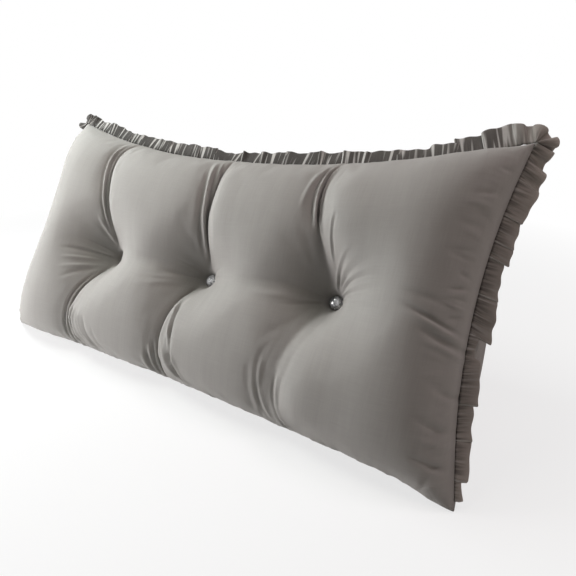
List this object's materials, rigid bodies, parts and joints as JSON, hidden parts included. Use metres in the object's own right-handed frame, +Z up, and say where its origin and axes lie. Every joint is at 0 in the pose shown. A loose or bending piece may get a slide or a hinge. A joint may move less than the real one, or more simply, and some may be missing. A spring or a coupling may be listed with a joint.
{
  "type": "wedge reading pillow",
  "caption": "Long filled wedge cushion for leaning back in bed, with a button-tufted front, a flat base and a gathered ruffle along its top and sides.",
  "frame": {"origin": "on the floor, at the middle of the flat base", "axes": "+X along the length to the right as seen from the front, the tufted front faces -Y and leans back, +Z up"},
  "size_m": [1.0511, 0.3492, 0.4577],
  "materials": {
    "cover": "warm grey brushed cotton, fine plain weave with a slight soft sheen",
    "ruffle": "the same warm grey cotton, doubled and gathered, darker than the cover",
    "crystal": "faceted silvery crystal with a mirrored back"
  },
  "bodies": {
    "root": {"cushion": "cover", "ruffle": "ruffle", "button_left": "crystal", "button_middle": "crystal", "button_right": "crystal"}
  },
  "joints": []
}
